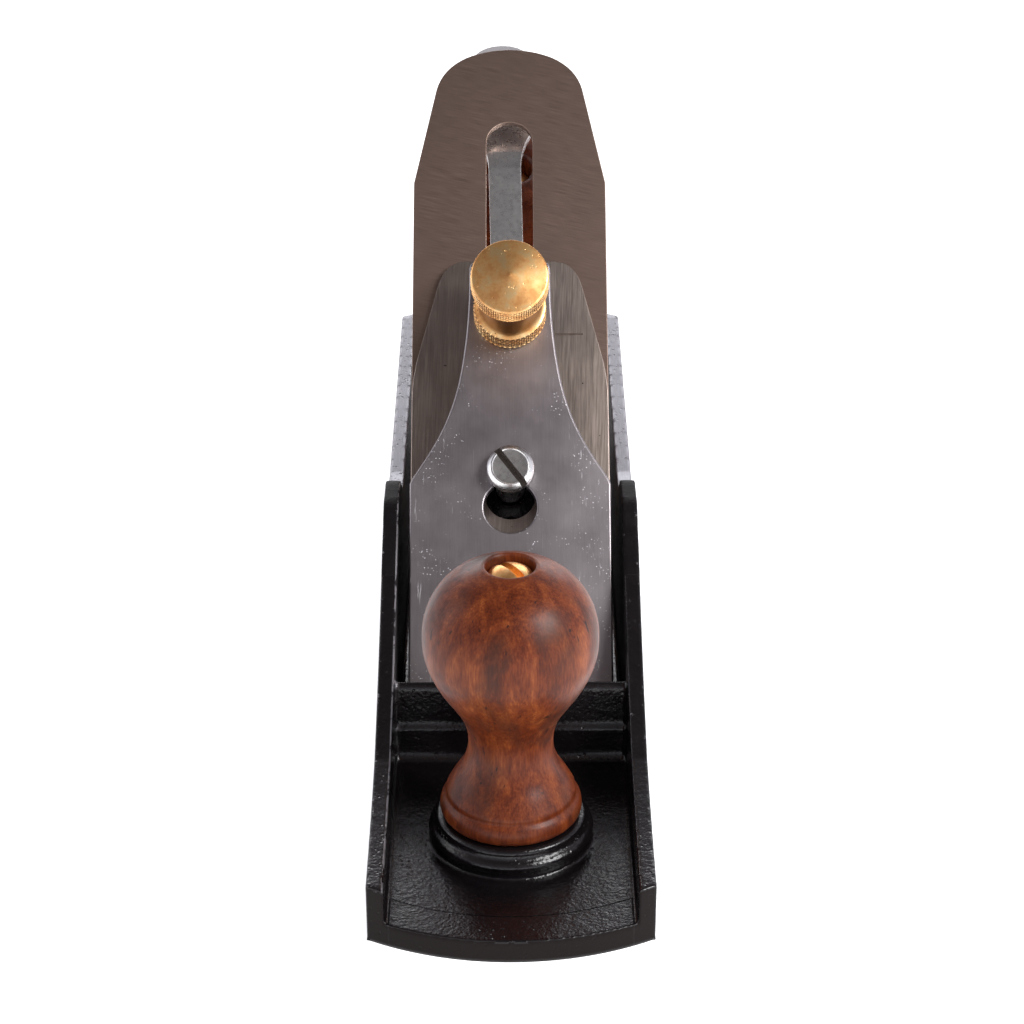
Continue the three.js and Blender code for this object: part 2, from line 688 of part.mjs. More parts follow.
const capFrame = new THREE.Group();
capFrame.position.set(0, CAP.y, CAP.z);
capFrame.rotation.x = CAP.tilt * Math.PI / 180;

const toteFrame = new THREE.Group();
toteFrame.position.set(0, TOTE_ROD.footY, TOTE_ROD.footZ);
toteFrame.rotation.x = Math.atan2(TOTE_ROD.footY - TOTE_ROD.topY, TOTE_ROD.topZ - TOTE_ROD.footZ);

const alongY = -Math.PI / 2;     // turns a piece made along z so that it runs back along y

bench.add(
  piece('body_casting', 'japanned', shell(bodyCasting())),
  placed(piece('front_knob', 'wood', frontKnob()), [0, BOSS.y, 0]),
  placed(piece('knob_rod', 'steel', shell(knobRod())), [0, BOSS.y, 0]),
  placed(piece('knob_nut', 'brass', shell(slottedNut(KNOB_NUT))), [0, BOSS.y, 0]),
  piece('tote', 'wood', shell(tote())),
  placed(piece('tote_toe_screw', 'brass', shell(toteToeScrew())), [0, TOTE_SCREW.y, 0]),
  piece('frog', 'japanned', shell(frog())),
  placed(piece('frog_adjusting_screw', 'steel', shell(adjustingScrew())), [0, 0, ADJUSTER.z], alongY),
  piece('frog_adjusting_clip', 'blackSteel', shell(adjustingClip())),
  placed(piece('clip_screw', 'steel', shell(clipScrew())), [0, 0, CLIP_SCREW.z], alongY),
  piece('depth_stud', 'steel', shell(bar(STUD.radius, 128.5, 169, [0, STUD.z], 'y', 20))),
  placed(piece('depth_nut', 'brass', depthNut()), [0, 0, STUD.z], alongY),
  piece('yoke_lever', 'blackSteel', shell(yokeLever())),
  piece('yoke_pin', 'steel', shell(bar(YOKE.pin, -9.2, 9.2, [YOKE_PIVOT.y, YOKE_PIVOT.z], 'x', 16))),
  bed,
  toteFrame,
);

for (const [side, x] of [['left', -FROG_SCREW.x], ['right', FROG_SCREW.x]]) {
  bench.add(
    placed(piece(`frog_screw_${side}`, 'steel', shell(frogScrew())), [x, FROG_SCREW.y, 0]),
    placed(piece(`frog_washer_${side}`, 'steel', shell(frogWasher())), [x, FROG_SCREW.y, 0]),
  );
}

toteFrame.add(
  piece('tote_rod', 'steel', shell(bar(ROD.radius, -5, 92.5, [0, 0], 'z', 20))),
  piece('tote_nut', 'brass', shell(slottedNut(TOTE_NUT))),
);

leverFrame.add(
  placed(piece('lateral_lever', 'steel', shell(lateralLever())), [0, -SCREW_Y.rivet, 0]),
  placed(piece('lateral_disc', 'steel', lateralDisc()), [0, SCREW_Y.disc - SCREW_Y.rivet, 0]),
);

bed.add(
  placed(piece('lateral_rivet', 'steel', lateralRivet()), [0, SCREW_Y.rivet, 0]),
  placed(piece('lever_cap_screw', 'steel', shell(leverCapScrew())), [0, SCREW_Y.leverCap, 0]),
  piece('cutting_iron', 'iron', shell(cuttingIron())),
  piece('cap_iron', 'plate', shell(capIron())),
  placed(piece('cap_iron_screw', 'steel', shell(capIronScrew())), [0, SCREW_Y.capIron, 0]),
  leverFrame,
  capFrame,
);

capFrame.add(
  piece('lever_cap', 'plate', shell(leverCap())),
  placed(piece('thumb_screw', 'brass', thumbScrew()), [0, THUMB.y, 0]),
);

const plane = new THREE.Group();
plane.add(bench);

export default plane;
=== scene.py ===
"""The looks of a metal bench plane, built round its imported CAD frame.

Bench coordinates are the frame's own: the middle of the sole is the origin, the toe points to -Y, +Z is up.
Bed coordinates lie on the 45 degree bed: x across, y up the bed, z out of it.
Cap coordinates lie on the lever cap, which is tilted a little more than the bed.
Sizes are in millimetres here and become metres as each piece is made.
"""
import math

import bmesh
import bpy
from mathutils import Matrix, Vector


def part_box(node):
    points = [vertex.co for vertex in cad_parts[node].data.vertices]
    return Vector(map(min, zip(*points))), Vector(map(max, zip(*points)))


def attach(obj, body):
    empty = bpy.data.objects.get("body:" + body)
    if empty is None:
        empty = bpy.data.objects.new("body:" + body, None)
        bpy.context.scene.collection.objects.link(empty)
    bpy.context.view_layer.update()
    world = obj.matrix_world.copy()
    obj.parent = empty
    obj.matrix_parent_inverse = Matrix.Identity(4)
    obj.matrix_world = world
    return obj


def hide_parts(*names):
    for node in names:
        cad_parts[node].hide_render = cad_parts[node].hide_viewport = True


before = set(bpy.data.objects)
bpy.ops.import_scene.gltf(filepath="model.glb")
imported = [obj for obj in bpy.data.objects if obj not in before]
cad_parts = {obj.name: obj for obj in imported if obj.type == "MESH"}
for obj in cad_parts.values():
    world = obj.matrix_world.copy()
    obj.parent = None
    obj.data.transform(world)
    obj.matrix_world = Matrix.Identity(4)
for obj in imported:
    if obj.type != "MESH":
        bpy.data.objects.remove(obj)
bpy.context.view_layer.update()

MM = 0.001

# ---------------------------------------------------------------- driving dimensions, in millimetres

LENGTH = 250
HALF_WIDTH = 31.75
TOE_RADIUS = 64.9           # the round of the toe and of the heel, seen from above
BED_Y = 82.7 - LENGTH / 2   # where the bed's surface meets the sole's plane
KNOB_Y = 40.5 - LENGTH / 2
CROWN_Y = 133 - LENGTH / 2  # the cheeks' tops are bare behind this
IRON_HALF = 25.4
CAP_AT = (9, 5.9)           # the lever cap's lower end: up the bed, and out of it
CAP_TILT = 4
CAP_HALF = 25.1
CAP_TOP = 116
NECK = 10.3                 # half the lever cap's width at its top
CAP_SCREW_Y = 69.2
CAP_SCREW_SEAT = 14.6       # where the clamp screw's head starts, out of the bed
CAP_SLOT_DEPTH = 1.2
SLOT_TURN = -53             # the screwdriver slots' direction, in degrees
THUMB = {"y": 101.8, "ring": 9.2, "disc": 9.6, "foot": -10.3, "seat": 4.2, "top": 33}
THUMB_BORE = 3.45           # the hole for the thumb screw in the lever cap
THUMB_SEGMENTS = 480        # enough for the knurling
KNOB = {"bottom": 12.9, "top": 76, "bore": 3.2, "recess": 5.5, "recess_floor": 64}

BENCH = Matrix.Identity(4)
BED = Matrix.Translation((0, BED_Y * MM, 0)) @ Matrix.Rotation(math.radians(45), 4, "X")
CAP_FOOT = Matrix.Translation((0, CAP_AT[0] * MM, CAP_AT[1] * MM))
CAP = BED @ CAP_FOOT @ Matrix.Rotation(math.radians(CAP_TILT), 4, "X")


def at(x, y, z):
    """A shift, in millimetres."""
    return Matrix.Translation((x * MM, y * MM, z * MM))


# ---------------------------------------------------------------- mesh tools

def finish_mesh(obj, sharp_angle):
    """Smooth shading, with an edge kept sharp where it turns more than so many degrees."""
    obj.data.shade_smooth()
    obj.data.set_sharp_from_angle(angle=math.radians(sharp_angle))
    return obj


def finish_plate(obj, sharp_angle):
    """Smooth shading that still leaves the large flat faces flat."""
    finish_mesh(obj, sharp_angle)
    weighted = obj.modifiers.new("flat_faces", "WEIGHTED_NORMAL")
    weighted.weight = 100
    weighted.keep_sharp = True
    return apply_modifiers(obj)


def new_object(name, mesh, place=BENCH):
    """Adds a mesh to the scene as an object, moved to its place."""
    mesh.transform(place)
    obj = bpy.data.objects.new(name, mesh)
    bpy.context.scene.collection.objects.link(obj)
    return obj


def mesh_from(name, verts, faces, place=BENCH):
    """A closed or open mesh from points in millimetres, with its faces turned outward."""
    mesh = bpy.data.meshes.new(name)
    mesh.from_pydata([Vector(v) * MM for v in verts], [], faces)
    mesh.validate()
    work = bmesh.new()
    work.from_mesh(mesh)
    bmesh.ops.recalc_face_normals(work, faces=work.faces)
    work.to_mesh(mesh)
    work.free()
    return new_object(name, mesh, place)


def revolve(name, profile, segments=96, place=BENCH, radius_at=None):
    """Turns (radius, height) points round z. A profile that is off the axis closes on itself.

    radius_at(radius, height, angle) may move a point in or out, as a knurling tool does.
    """
    verts = []
    rings = []
    for radius, height in profile:
        if radius == 0:
            rings.append([len(verts)])
            verts.append((0, 0, height))
            continue
        ring = []
        for k in range(segments):
            angle = 2 * math.pi * k / segments
            r = radius_at(radius, height, angle) if radius_at else radius
            ring.append(len(verts))
            verts.append((r * math.cos(angle), r * math.sin(angle), height))
        rings.append(ring)
    pairs = list(zip(rings, rings[1:]))
    if profile[0][0] > 0:
        pairs.append((rings[-1], rings[0]))
    faces = []
    for low, high in pairs:
        for k in range(segments):
            n = (k + 1) % segments
            if len(low) == 1 and len(high) == 1:
                continue
            if len(low) == 1:
                faces.append((low[0], high[n], high[k]))
            elif len(high) == 1:
                faces.append((low[k], low[n], high[0]))
            else:
                faces.append((low[k], low[n], high[n], high[k]))
    return mesh_from(name, verts, faces, place)


def arc(cx, cy, radius, start, end, steps):
    """Points of a round stretch, with its ends, from one angle to another in degrees."""
    angles = [math.radians(start + (end - start) * k / steps) for k in range(steps + 1)]
    return [(cx + radius * math.cos(a), cy + radius * math.sin(a)) for a in angles]


def bend(p0, p1, p2, steps=10):
    """A quadratic curve from p0 towards p1 and on to p2, without its first point."""
    points = []
    for k in range(1, steps + 1):
        t = k / steps
        a, b, c = (1 - t) ** 2, 2 * t * (1 - t), t * t
        points.append((a * p0[0] + b * p1[0] + c * p2[0], a * p0[1] + b * p1[1] + c * p2[1]))
    return points


def ridge(turns):
    """A saw-toothed wave from 0 in a groove to 1 on a ridge."""
    return abs((turns % 1) - 0.5) * 2


def diamonds(around, along):
    """From 0 in the crossed grooves to 1 on top of the diamonds between them."""
    return min(1, 1.3 * min(ridge(around + along), ridge(around - along)))


def smooth_line(points, steps):
    """A Catmull-Rom curve through the points."""
    line = []
    padded = [points[0]] + points + [points[-1]]
    for k in range(1, len(padded) - 2):
        p0, p1, p2, p3 = (Vector(p) for p in padded[k - 1:k + 3])
        for j in range(steps):
            t = j / steps
            value = 0.5 * (2 * p1 + (p2 - p0) * t + (2 * p0 - 5 * p1 + 4 * p2 - p3) * t * t
                           + (3 * p1 - p0 - 3 * p2 + p3) * t ** 3)
            line.append((value.x, value.y))
    line.append(tuple(points[-1]))
    return line


def mirrored(right_side):
    """A whole outline from the points of its right side, which run up from the bottom."""
    return right_side + [(-x, y) for x, y in reversed(right_side) if abs(x) > 1e-6]


def plate(name, outline, holes, low, high, bevel, place=BENCH):
    """A flat plate with rounded edges and holes, from its outline in x and y."""
    curve = bpy.data.curves.new(name, "CURVE")
    curve.dimensions = "2D"
    curve.fill_mode = "BOTH"
    for loop in [outline] + holes:
        spline = curve.splines.new("POLY")
        spline.points.add(len(loop) - 1)
        for point, (x, y) in zip(spline.points, loop):
            point.co = (x * MM, y * MM, 0, 1)
        spline.use_cyclic_u = True
    curve.bevel_depth = bevel * MM
    curve.offset = -bevel * MM
    curve.bevel_resolution = 2
    curve.extrude = (high - low) / 2 * MM - bevel * MM
    shaper = bpy.data.objects.new(name + "_curve", curve)
    bpy.context.scene.collection.objects.link(shaper)
    graph = bpy.context.evaluated_depsgraph_get()
    mesh = bpy.data.meshes.new_from_object(shaper.evaluated_get(graph))
    bpy.data.objects.remove(shaper)
    bpy.data.curves.remove(curve)
    work = bmesh.new()
    work.from_mesh(mesh)
    bmesh.ops.remove_doubles(work, verts=work.verts, dist=1e-6)
    bmesh.ops.recalc_face_normals(work, faces=work.faces)
    work.to_mesh(mesh)
    work.free()
    return new_object(name, mesh, place @ at(0, 0, (low + high) / 2))


def apply_modifiers(obj):
    """Replaces the object's mesh with what its modifiers make of it."""
    graph = bpy.context.evaluated_depsgraph_get()
    graph.update()
    mesh = bpy.data.meshes.new_from_object(obj.evaluated_get(graph))
    old = obj.data
    obj.modifiers.clear()
    obj.data = mesh
    mesh.name = obj.name
    bpy.data.meshes.remove(old)
    return obj


def copy_of(node, name):
    """A new object with the same shape as a CAD node."""
    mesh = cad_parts[node].data.copy()
    mesh.materials.clear()
    work = bmesh.new()
    work.from_mesh(mesh)
    bmesh.ops.remove_doubles(work, verts=work.verts, dist=2e-6)
    work.to_mesh(mesh)
    work.free()
    return new_object(name, mesh)


def crisp(node, name, bevel):
    """A CAD node's shape with its flat faces made whole and its edges rounded."""
    obj = copy_of(node, name)
    work = bmesh.new()
    work.from_mesh(obj.data)
    bmesh.ops.dissolve_limit(work, angle_limit=math.radians(3), verts=work.verts, edges=work.edges)
    work.to_mesh(obj.data)
    work.free()
    rounding = obj.modifiers.new("rounding", "BEVEL")
    rounding.width = bevel * MM
    rounding.segments = 2
    rounding.limit_method = "ANGLE"
    rounding.angle_limit = math.radians(28)
    rounding.use_clamp_overlap = True
    return finish_plate(apply_modifiers(obj), 40)


def cast(node, name, voxel, rounds, most_faces=60000, trim=None):
    """A CAD node's shape as a founder would cast it, with every corner filled and rounded."""
    obj = copy_of(node, name)
    remesh = obj.modifiers.new("remesh", "REMESH")
    remesh.mode = "VOXEL"
    remesh.voxel_size = voxel * MM
    smooth = obj.modifiers.new("smooth", "SMOOTH")
    smooth.factor = 0.5
    smooth.iterations = rounds
    obj = apply_modifiers(obj)
    if trim:
        trim(obj)
    faces = 2 * len(obj.data.polygons)
    if faces > most_faces:
        thin = obj.modifiers.new("thin", "DECIMATE")
        thin.ratio = most_faces / faces
        obj = apply_modifiers(obj)
    obj.data.shade_smooth()
    return obj


def keep_inside(obj, low, high):
    """Holds every point inside a box, given in metres."""
    for vertex in obj.data.vertices:
        for k in range(3):
            vertex.co[k] = min(max(vertex.co[k], low[k]), high[k])
    return obj


def box(low, high, name):
    """A plain block between two corners, used only to cut other pieces."""
    corners = [(x, y, z) for x in (low[0], high[0]) for y in (low[1], high[1]) for z in (low[2], high[2])]
    sides = [(0, 1, 3, 2), (4, 6, 7, 5), (0, 4, 5, 1), (2, 3, 7, 6), (0, 2, 6, 4), (1, 5, 7, 3)]
    return mesh_from(name, corners, sides)


def slot_cutter(length, width, low, high):
    """A block that cuts a screwdriver slot along x."""
    return box((-length / 2, -width / 2, low), (length / 2, width / 2, high), "slot_cutter")


def carve(obj, cutter, turn=0.0, place=BENCH):
    """Cuts the cutter out of the piece; turn rotates the cutter round z first, in degrees."""
    cutter.data.transform(place @ Matrix.Rotation(math.radians(turn), 4, "Z"))
    cut = obj.modifiers.new("cut", "BOOLEAN")
    cut.operation = "DIFFERENCE"
    cut.solver = "EXACT"
    cut.object = cutter
    apply_modifiers(obj)
    bpy.data.objects.remove(cutter)
    return obj


# ---------------------------------------------------------------- material tools

class Shader:
    """A principled material, with its texture nodes added by short calls. Textures work in millimetres."""

    def __init__(self, name, roughness=0.4, metallic=0.0):
        self.material = bpy.data.materials.new(name)
        self.material.use_nodes = True
        self.tree = self.material.node_tree
        self.surface = self.tree.nodes["Principled BSDF"]
        self.surface.inputs["Roughness"].default_value = roughness
        self.surface.inputs["Metallic"].default_value = metallic
        self.coords = self.tree.nodes.new("ShaderNodeTexCoord")
        self.height = None

    def link(self, source, target):
        self.tree.links.new(source, target)

    def place(self, scale=(1, 1, 1), turn=(0, 0, 0)):
        """Object coordinates in millimetres, turned first and then scaled."""
        turned = self.tree.nodes.new("ShaderNodeMapping")
        turned.inputs["Rotation"].default_value = [math.radians(a) for a in turn]
        turned.inputs["Scale"].default_value = (1 / MM, 1 / MM, 1 / MM)
        self.link(self.coords.outputs["Object"], turned.inputs["Vector"])
        scaled = self.tree.nodes.new("ShaderNodeMapping")
        scaled.inputs["Scale"].default_value = scale
        self.link(turned.outputs["Vector"], scaled.inputs["Vector"])
        return scaled.outputs["Vector"]

    def noise(self, size, detail=4, rough=0.55, stretch=(1, 1, 1), turn=(0, 0, 0), distortion=0.0):
        """Cloudy grey values whose blotches are about size millimetres across."""
        node = self.tree.nodes.new("ShaderNodeTexNoise")
        scale = [1 / (size * s) for s in stretch]
        self.link(self.place(scale, turn), node.inputs["Vector"])
        node.inputs["Scale"].default_value = 1
        node.inputs["Detail"].default_value = detail
        node.inputs["Roughness"].default_value = rough
        node.inputs["Distortion"].default_value = distortion
        return node.outputs["Fac"]

    def cells(self, size):
        """Distance to the nearest of many scattered points, about size millimetres apart."""
        node = self.tree.nodes.new("ShaderNodeTexVoronoi")
        self.link(self.place([1 / size] * 3), node.inputs["Vector"])
        node.inputs["Scale"].default_value = 1
        return node.outputs["Distance"]

    def marked(self, name):
        """A number stored on the mesh by mark()."""
        node = self.tree.nodes.new("ShaderNodeAttribute")
        node.attribute_name = name
        return node.outputs["Fac"]

    def axis(self, letter):
        """One coordinate, in millimetres."""
        node = self.tree.nodes.new("ShaderNodeSeparateXYZ")
        self.link(self.place(), node.inputs["Vector"])
        return node.outputs[letter]

    def span(self, value, low, high, to_low=0.0, to_high=1.0):
        """Stretches the values between low and high to run from to_low to to_high."""
        node = self.tree.nodes.new("ShaderNodeMapRange")
        self.link(value, node.inputs["Value"])
        for key, number in (("From Min", low), ("From Max", high), ("To Min", to_low), ("To Max", to_high)):
            node.inputs[key].default_value = number
        return node.outputs["Result"]

    def math(self, operation, first, second=None):
        """One sum; first and second are numbers or sockets."""
        node = self.tree.nodes.new("ShaderNodeMath")
        node.operation = operation
        for socket, value in zip(node.inputs, (first, second)):
            if value is None:
                continue
            if isinstance(value, (int, float)):
                socket.default_value = value
            else:
                self.link(value, socket)
        return node.outputs["Value"]

    def product(self, *factors):
        """The factors multiplied together; each is a number or a socket."""
        result = factors[0]
        for factor in factors[1:]:
            result = self.math("MULTIPLY", result, factor)
        return result

    def ramp(self, value, stops):
        """Colours by value: stops are (position, colour)."""
        node = self.tree.nodes.new("ShaderNodeValToRGB")
        self.link(value, node.inputs["Fac"])
        elements = node.color_ramp.elements
        while len(elements) < len(stops):
            elements.new(0.5)
        for element, (position, colour) in zip(elements, stops):
            element.position = position
            element.color = (*colour, 1)
        return node.outputs["Color"]

    def mix(self, amount, first, second):
        """Blends two colours; each is a colour or a socket."""
        node = self.tree.nodes.new("ShaderNodeMix")
        node.data_type = "RGBA"
        self.link(amount, node.inputs["Factor"])
        for socket, value in zip((node.inputs[6], node.inputs[7]), (first, second)):
            if isinstance(value, tuple):
                socket.default_value = (*value, 1)
            else:
                self.link(value, socket)
        return node.outputs[2]

    def colour(self, value):
        self.link(value, self.surface.inputs["Base Color"])

    def roughness(self, value):
        self.link(value, self.surface.inputs["Roughness"])

    def metallic(self, value):
        self.link(value, self.surface.inputs["Metallic"])

    def blend(self, amount, first, second):
        """A number between first and second; amount, first and second are numbers or sockets."""
        step = self.math("SUBTRACT", second, first)
        return self.math("ADD", first, self.math("MULTIPLY", step, amount))

    def bump(self, value, depth):
        """Raises the surface by up to depth millimetres."""
        node = self.tree.nodes.new("ShaderNodeBump")
        node.inputs["Strength"].default_value = 1
        node.inputs["Distance"].default_value = depth * MM
        self.link(value, node.inputs["Height"])
        if self.height is not None:
            self.link(self.height, node.inputs["Normal"])
        self.height = node.outputs["Normal"]
        self.link(self.height, self.surface.inputs["Normal"])

    def coat(self, weight, roughness):
        self.surface.inputs["Coat Weight"].default_value = weight
        self.surface.inputs["Coat Roughness"].default_value = roughness


# ---------------------------------------------------------------- materials

def japanned():
    """Black japanning on a sand casting, glossy, dimpled and chipped, with its sides ground bare."""
    s = Shader("japanned")
    cloud = s.noise(9, 5)
    black = s.ramp(cloud, [(0.3, (0.0035, 0.0028, 0.0034)), (0.7, (0.008, 0.0062, 0.0070))])
    ends = s.marked("end")
    with_ends = s.mix(ends, black, (0.010, 0.0070, 0.0068))
    dull = s.math("MAXIMUM", ends, s.marked("dull"))

    chipped = chipped_paint(s)
    rubbed = s.product(s.marked("bare"), s.span(s.noise(1.6, 5, 0.6), 0.27, 0.37))
    bare = s.math("MAXIMUM", rubbed, s.marked("ground"))
    metal = s.math("MAXIMUM", bare, chipped)
    grinding = s.noise(0.25, 3, 0.6, (1, 40, 1))
    iron = s.ramp(grinding, [(0.3, (0.27, 0.262, 0.275)), (0.7, (0.40, 0.39, 0.41))])
    coloured = s.mix(metal, with_ends, iron)
    s.colour(s.mix(s.math("MULTIPLY", rubbed, 0.7), coloured, (0.10, 0.097, 0.115)))
    s.metallic(s.math("MULTIPLY", metal, 0.9))

    gloss = s.span(s.noise(5, 5), 0.3, 0.7, 0.13, 0.25)
    painted = s.blend(dull, gloss, 0.6)
    s.roughness(s.blend(metal, painted, 0.36))
    s.link(s.blend(dull, 0.5, 0.12), s.surface.inputs["Specular IOR Level"])

    smooth = s.math("SUBTRACT", 1, s.math("MAXIMUM", bare, ends))

    pits = s.span(s.cells(1.6), 0.10, 0.26)
    patchy = s.span(s.noise(9, 3), 0.47, 0.57)
    s.bump(s.math("SUBTRACT", 1, s.math("MULTIPLY", patchy, s.math("SUBTRACT", 1, pits))), 0.09)
    s.bump(s.math("MULTIPLY", smooth, s.noise(2.4, 3)), 0.10)
    s.bump(s.math("MULTIPLY", smooth, s.noise(0.9, 3)), 0.11)
    s.bump(s.math("MULTIPLY", ends, s.noise(0.6, 3)), 0.03)
    s.bump(toe_step(s), 0.22)
    s.bump(metal, -0.03)
    return s.material


def chipped_paint(s):
    """Chips along the outer edges, and a worn line along the left rail's inner edge."""
    edge = s.marked("edge")
    chips = s.product(edge, s.span(s.noise(2.0, 5, 0.7), 0.63, 0.655))
    x = s.axis("X")
    on_left_rail = s.product(s.span(x, -28.3, -28.2, 0, 1), s.span(x, -26.6, -26.5, 1, 0))
    wear = s.span(s.noise(3.0, 4, 0.7, (1, 2.5, 1)), 0.42, 0.50)
    return s.math("MAXIMUM", chips, s.product(on_left_rail, edge, wear))


def toe_step(s):
    """A low step across the toe's floor that follows the round of the toe."""
    x = s.axis("X")
    y = s.axis("Y")
    from_centre = s.math("ADD", y, LENGTH / 2 - TOE_RADIUS)
    away = s.math("SQRT", s.math("ADD", s.product(x, x), s.product(from_centre, from_centre)))
    between_rails = s.span(s.math("ABSOLUTE", x), 26.6, 27.0, 1, 0)
    ahead_of_knob = s.span(y, -95, -94, 1, 0)
    return s.product(s.span(away, 55.7, 56.0), between_rails, ahead_of_knob)


def crowned(s):
    """A height that falls off from the middle line of the lever cap or the cap iron to its sides."""
    across = s.math("DIVIDE", s.axis("X"), CAP_HALF)
    return s.product(across, across, -1)


def wood():
    """Reddish hardwood under a satin varnish: grain along z, soft dark clouds and short dark flecks."""
    s = Shader("handle_wood", 0.36)
    grain = s.noise(4.5, 6, 0.6, (1, 1, 4), distortion=0.9)
    fine = s.noise(0.45, 4, 0.6, (1, 1, 8))
    tone = s.math("ADD", s.math("MULTIPLY", grain, 0.6), s.math("MULTIPLY", fine, 0.4))
    base = s.ramp(tone, [
        (0.32, (0.040, 0.0070, 0.0022)), (0.45, (0.105, 0.0185, 0.0046)),
        (0.56, (0.175, 0.0365, 0.0085)), (0.70, (0.310, 0.0840, 0.0210)),
    ])
    cloud = s.span(s.noise(13, 4, 0.6, (1, 1, 1.4), distortion=0.5), 0.50, 0.68, 0, 0.85)
    shade = s.mix(cloud, base, (0.045, 0.0150, 0.0085))
    flecks = s.span(s.noise(1.5, 3, 0.5, (1, 1, 4.5), distortion=0.3), 0.665, 0.71, 0, 0.85)
    s.colour(s.mix(flecks, shade, (0.012, 0.0060, 0.0050)))
    s.roughness(s.span(s.noise(5, 4), 0.3, 0.7, 0.38, 0.5))
    s.surface.inputs["Specular IOR Level"].default_value = 0.2
    s.bump(fine, 0.02)
    s.bump(s.noise(9, 2), 0.22)
    s.coat(0.12, 0.24)
    return s.material


def ground_iron():
    """The cutting iron: brownish tool steel with faint slanted grinding lines."""
    s = Shader("ground_iron", metallic=1.0)
    slanted = s.noise(0.22, 3, 0.6, (30, 1, 1), (-45, 0, 14))
    cloud = s.noise(24, 3)
    base = s.ramp(slanted, [(0.30, (0.262, 0.185, 0.150)), (0.70, (0.325, 0.233, 0.192))])
    s.colour(s.mix(s.span(cloud, 0.35, 0.65, 0, 0.35), base, (0.255, 0.188, 0.155)))
    s.roughness(s.span(slanted, 0.3, 0.7, 0.40, 0.48))
    s.bump(slanted, 0.004)
    return s.material


def brushed_plate():
    """The cap iron: grey steel, brushed along its length, with a few dark spots."""
    s = Shader("brushed_plate", metallic=1.0)
    lines = s.noise(0.22, 3, 0.6, (1, 45, 1), (-45, 0, 2))
    cloud = s.noise(13, 4)
    base = s.ramp(lines, [(0.32, (0.32, 0.264, 0.232)), (0.68, (0.47, 0.395, 0.350))])
    shade = s.mix(s.span(cloud, 0.4, 0.7, 0, 0.5), base, (0.27, 0.225, 0.200))
    spots = s.product(s.span(s.cells(2.4), 0.04, 0.10, 1, 0), s.span(s.noise(8, 3), 0.52, 0.58))
    s.colour(s.mix(spots, shade, (0.06, 0.05, 0.045)))
    s.roughness(s.span(lines, 0.3, 0.7, 0.30, 0.42))
    s.bump(crowned(s), 1.0)
    s.bump(lines, 0.006)
    return s.material


def lever_cap_plate():
    """The lever cap: satin plating, brushed along its length, with pale specks towards its edges."""
    s = Shader("lever_cap_plate", metallic=1.0)
    cloud = s.noise(16, 5, 0.6)
    lines = s.noise(0.28, 3, 0.6, (1, 30, 1), (-49, 0, 0))
    tone = s.math("ADD", s.math("MULTIPLY", cloud, 0.7), s.math("MULTIPLY", lines, 0.3))
    base = s.ramp(tone, [(0.36, (0.272, 0.248, 0.258)), (0.64, (0.345, 0.316, 0.326))])
    side = s.span(s.math("ABSOLUTE", s.axis("X")), 7, 20)
    patch = s.math("ADD", s.noise(7, 4), s.math("MULTIPLY", side, 0.09))
    specks = s.product(s.span(s.cells(0.8), 0.09, 0.20, 1, 0), s.span(patch, 0.555, 0.64))
    scratch = s.span(s.noise(0.5, 2, 0.5, (1, 18, 1), (-49, 0, 0)), 0.70, 0.74, 0, 0.5)
    pale = s.math("MAXIMUM", specks, s.math("MULTIPLY", scratch, side))
    s.colour(s.mix(pale, base, (0.80, 0.80, 0.82)))
    s.metallic(s.math("SUBTRACT", 1, s.math("MULTIPLY", pale, 0.75)))
    s.roughness(s.span(cloud, 0.3, 0.7, 0.36, 0.44))
    s.bump(crowned(s), 0.5)
    s.bump(s.noise(28, 2), 0.10)
    s.bump(lines, 0.004)
    s.bump(pale, -0.02)
    return s.material


def polished_steel(name="polished_steel", tone=0.95, roughness=0.27):
    """Bright turned or milled steel, a little clouded, and darkened by painted shade in marked recesses."""
    s = Shader(name, metallic=1.0)
    cloud = s.noise(6, 3)
    bright = s.ramp(cloud, [(0.3, (tone * 0.86,) * 3), (0.7, (tone, tone * 0.99, tone * 0.97))])
    # painted shade: the recess mark darkens the colour down in the clamp screw's slot
    s.colour(s.mix(s.marked("recess"), bright, (tone * 0.17, tone * 0.145, tone * 0.13)))
    s.roughness(s.span(s.noise(1.2, 4), 0.3, 0.7, roughness * 0.95, roughness * 1.15))
    s.bump(s.noise(2.0, 2), 0.004)
    return s.material


def oiled_steel():
    """Steel parts darkened by oil."""
    return polished_steel("oiled_steel", 0.16, 0.36)


def brass():
    """Turned brass, mottled with brown tarnish and small pits, and darker where marked with painted shade
    and tarnish.
    """
    s = Shader("brass", metallic=1.0)
    cloud = s.noise(3.6, 6, 0.65)
    base = s.ramp(cloud, [
        (0.36, (0.72, 0.340, 0.120)), (0.50, (0.96, 0.540, 0.210)), (0.64, (1.00, 0.700, 0.340)),
    ])
    spots = s.product(s.span(s.cells(0.9), 0.10, 0.22, 1, 0), s.span(s.noise(4.5, 4), 0.50, 0.60))
    spotted = s.mix(s.math("MULTIPLY", spots, 0.7), base, (0.16, 0.065, 0.022))
    # painted shade and tarnish: the mark darkens the thumb screw's waist, its lower ring and the grooves of
    # its grips
    s.colour(s.mix(s.math("MULTIPLY", s.marked("tarnish_and_painted_shade"), 0.92), spotted, (0.13, 0.047, 0.013)))
    s.roughness(s.span(cloud, 0.3, 0.7, 0.42, 0.32))
    s.bump(cloud, 0.02)
    s.bump(spots, -0.05)
    return s.material


MATERIALS = {
    "japanned_iron": japanned(),
    "handle_wood": wood(),
    "iron_steel": ground_iron(),
    "cap_iron_steel": brushed_plate(),
    "lever_cap_steel": lever_cap_plate(),
    "polished_steel": polished_steel(),
    "blued_steel": oiled_steel(),
    "brass": brass(),
}


